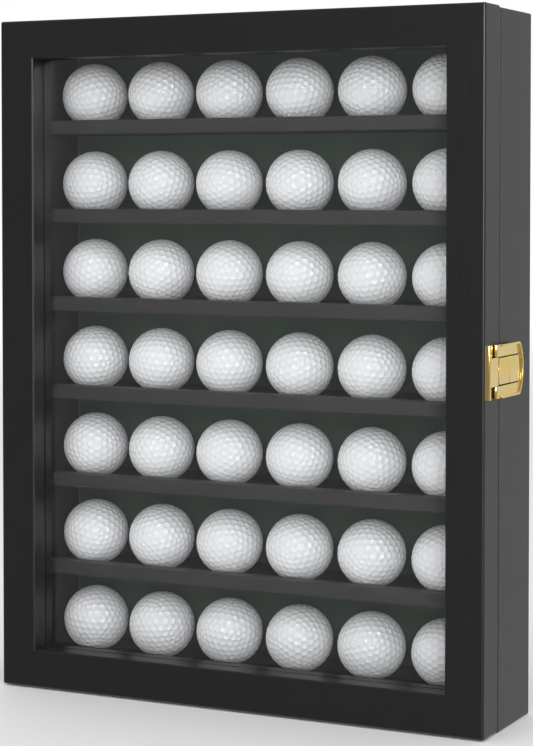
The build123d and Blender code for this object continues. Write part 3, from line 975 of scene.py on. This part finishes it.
class CASE_OT_stage(bpy.types.Operator):
    """Sets up the floor, the lights and the camera"""

    bl_idname = "case.stage"
    bl_label = "Stage"

    def execute(self, context):
        stage = context.scene.case_stage
        self.floor(stage)
        self.room()
        self.lamps()
        camera = bpy.data.cameras.new("camera")
        camera.lens = stage.camera_lens
        camera.sensor_width = 36.0
        camera.shift_y = stage.camera_shift
        camera.clip_end = 100.0
        holder = bpy.data.objects.new("camera", camera)
        holder.location = stage.camera_place
        holder.rotation_euler = (math.pi / 2 - stage.camera_tilt, 0, stage.camera_turn)
        context.scene.collection.objects.link(holder)
        context.scene.camera = holder
        context.scene.view_settings.view_transform = "Standard"
        return {"FINISHED"}

    def floor(self, stage):
        """Pale round floor that fades into the white surroundings far away and is too dull to
        show in the lacquer."""
        radii = np.linspace(0, stage.floor_radius, 9)
        angle = np.linspace(0, 2 * np.pi, CIRCLE_POINTS, endpoint=False)
        points = np.stack(
            [
                radii[:, None] * np.cos(angle),
                radii[:, None] * np.sin(angle),
                np.zeros((len(radii), len(angle))),
            ],
            axis=-1,
        ).reshape(-1, 3)
        piece = mesh_object("floor", points, grid_faces(len(radii), len(angle), wrap=True))
        material, shader = new_material("pale_floor", Roughness=0.6)
        shader.inputs["Base Color"].default_value = (0.95, 0.95, 0.95, 1)
        nodes, links = material.node_tree.nodes, material.node_tree.links
        distance = nodes.new("ShaderNodeVectorMath")
        distance.operation = "LENGTH"
        links.new(object_vector(material), distance.inputs[0])
        fade = nodes.new("ShaderNodeMapRange")
        fade.interpolation_type = "SMOOTHSTEP"
        fade.inputs["From Min"].default_value = 0.25 * stage.floor_radius
        fade.inputs["From Max"].default_value = stage.floor_radius
        fade.inputs["To Min"].default_value = 1.0
        fade.inputs["To Max"].default_value = 0.0
        links.new(distance.outputs["Value"], fade.inputs["Value"])
        unmirrored = nodes.new("ShaderNodeMath")
        unmirrored.operation = "LESS_THAN"
        unmirrored.inputs[1].default_value = 0.5
        links.new(nodes.new("ShaderNodeLightPath").outputs["Glossy Depth"], unmirrored.inputs[0])
        seen = nodes.new("ShaderNodeMath")
        seen.operation = "MULTIPLY"
        links.new(fade.outputs["Result"], seen.inputs[0])
        links.new(unmirrored.outputs[0], seen.inputs[1])
        links.new(seen.outputs[0], shader.inputs["Alpha"])
        piece.data.materials.append(material)
        piece.visible_glossy = False

    def room(self):
        """White surroundings that light the case evenly from all sides.  Their reflections are
        dim in front of the case and pale behind it, as if dark cloth hung in front of it."""
        world = bpy.data.worlds.new("room_light")
        world.use_nodes = True
        nodes, links = world.node_tree.nodes, world.node_tree.links
        split = nodes.new("ShaderNodeSeparateXYZ")
        links.new(nodes.new("ShaderNodeTexCoord").outputs["Generated"], split.inputs[0])
        depth = nodes.new("ShaderNodeMapRange")
        depth.inputs["From Min"].default_value = -0.75
        depth.inputs["From Max"].default_value = 0.35
        depth.inputs["To Min"].default_value = 0.25
        depth.inputs["To Max"].default_value = 0.72
        links.new(split.outputs["Y"], depth.inputs["Value"])
        path = nodes.new("ShaderNodeLightPath")
        lit = nodes.new("ShaderNodeMix")
        lit.data_type = "FLOAT"
        links.new(path.outputs["Is Diffuse Ray"], lit.inputs["Factor"])
        links.new(depth.outputs["Result"], lit.inputs["A"])
        lit.inputs["B"].default_value = 0.76
        seen = nodes.new("ShaderNodeMix")
        seen.data_type = "FLOAT"
        links.new(path.outputs["Is Camera Ray"], seen.inputs["Factor"])
        links.new(lit.outputs["Result"], seen.inputs["A"])
        seen.inputs["B"].default_value = 1.0
        background = nodes["Background"]
        background.inputs["Color"].default_value = (1, 1, 1, 1)
        links.new(seen.outputs["Result"], background.inputs["Strength"])
        bpy.context.scene.world = world

    def lamps(self):
        """A wide main lamp beyond the camera and another above, both unseen in the gloss, and
        a small one to the right that is only seen there, as sparkle."""
        aim = np.array([0.0, 0.0, 0.22])
        for name, place, size, power, sparkle in (
            ("main_lamp", (1.05, -2.1, 0.6), 1.2, 15.0, False),
            ("top_lamp", (0.3, -0.8, 2.6), 1.2, 13.5, False),
            ("sparkle_lamp", (1.4, -2.0, 0.9), 0.4, 66.0, True),
        ):
            lamp = bpy.data.lights.new(name, "AREA")
            lamp.size = size
            lamp.energy = power
            holder = bpy.data.objects.new(name, lamp)
            holder.location = place
            towards = Vector(aim - np.array(place))
            holder.rotation_euler = towards.to_track_quat("-Z", "Y").to_euler()
            holder.visible_diffuse = not sparkle
            holder.visible_glossy = sparkle
            holder.visible_transmission = sparkle
            bpy.context.scene.collection.objects.link(holder)


# ---- Add-on ---------------------------------------------------------------------------------


class CASE_PT_panel(bpy.types.Panel):
    """Lists the steps and their settings"""

    bl_idname = "CASE_PT_panel"
    bl_label = "Display Case"
    bl_space_type = "VIEW_3D"
    bl_region_type = "UI"
    bl_category = "Display Case"

    def draw(self, context):
        column = self.layout.column()
        for step in OPERATORS:
            column.operator(step.bl_idname)
        for settings in ("case_balls", "case_finish", "case_hardware", "case_stage"):
            group = getattr(context.scene, settings)
            box = column.box()
            for name in group.bl_rna.properties.keys():
                if name not in ("rna_type", "name"):
                    box.prop(group, name)


OPERATORS = [
    CASE_OT_wood,
    CASE_OT_boards,
    CASE_OT_back,
    CASE_OT_glass,
    CASE_OT_balls,
    CASE_OT_hinges,
    CASE_OT_latch,
    CASE_OT_hangers,
    CASE_OT_screws,
    CASE_OT_stage,
]
SETTINGS = {
    "case_balls": BallSettings,
    "case_finish": FinishSettings,
    "case_hardware": HardwareSettings,
    "case_stage": StageSettings,
}


def register():
    for kind in [*SETTINGS.values(), *OPERATORS, CASE_PT_panel]:
        bpy.utils.register_class(kind)
    for name, kind in SETTINGS.items():
        setattr(bpy.types.Scene, name, PointerProperty(type=kind))


def unregister():
    for name in SETTINGS:
        delattr(bpy.types.Scene, name)
    for kind in reversed([*SETTINGS.values(), *OPERATORS, CASE_PT_panel]):
        bpy.utils.unregister_class(kind)


def main():
    """Makes every piece in order."""
    register()
    bpy.ops.case.wood()
    bpy.ops.case.boards()
    bpy.ops.case.back()
    bpy.ops.case.glass()
    bpy.ops.case.balls()
    bpy.ops.case.hinges()
    bpy.ops.case.latch()
    bpy.ops.case.hangers()
    bpy.ops.case.screws()
    bpy.ops.case.stage()


if __name__ == "__main__":
    main()
